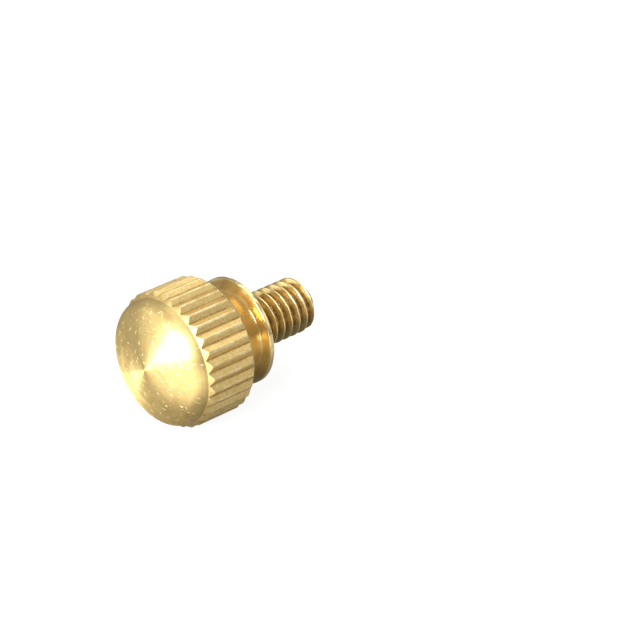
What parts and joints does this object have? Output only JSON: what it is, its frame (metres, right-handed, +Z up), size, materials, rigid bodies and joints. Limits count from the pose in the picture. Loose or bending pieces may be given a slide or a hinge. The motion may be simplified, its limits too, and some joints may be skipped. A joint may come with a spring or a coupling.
{
  "type": "thumb screw",
  "caption": "Knurled brass thumb screw with a domed head, tapered neck, seating flange and short threaded shank, turned by hand to clamp a part.",
  "frame": {"origin": "centre of the flange's seating face, on the screw's axis", "axes": "+X along the screw's axis from the head towards the tip; +Z up, with the screw lying on its knurl"},
  "size_m": [0.0143, 0.0096, 0.0096],
  "materials": {
    "brass": "bright turned brass with fine tool marks"
  },
  "bodies": {
    "root": {"thumb_screw": "brass"}
  },
  "joints": []
}
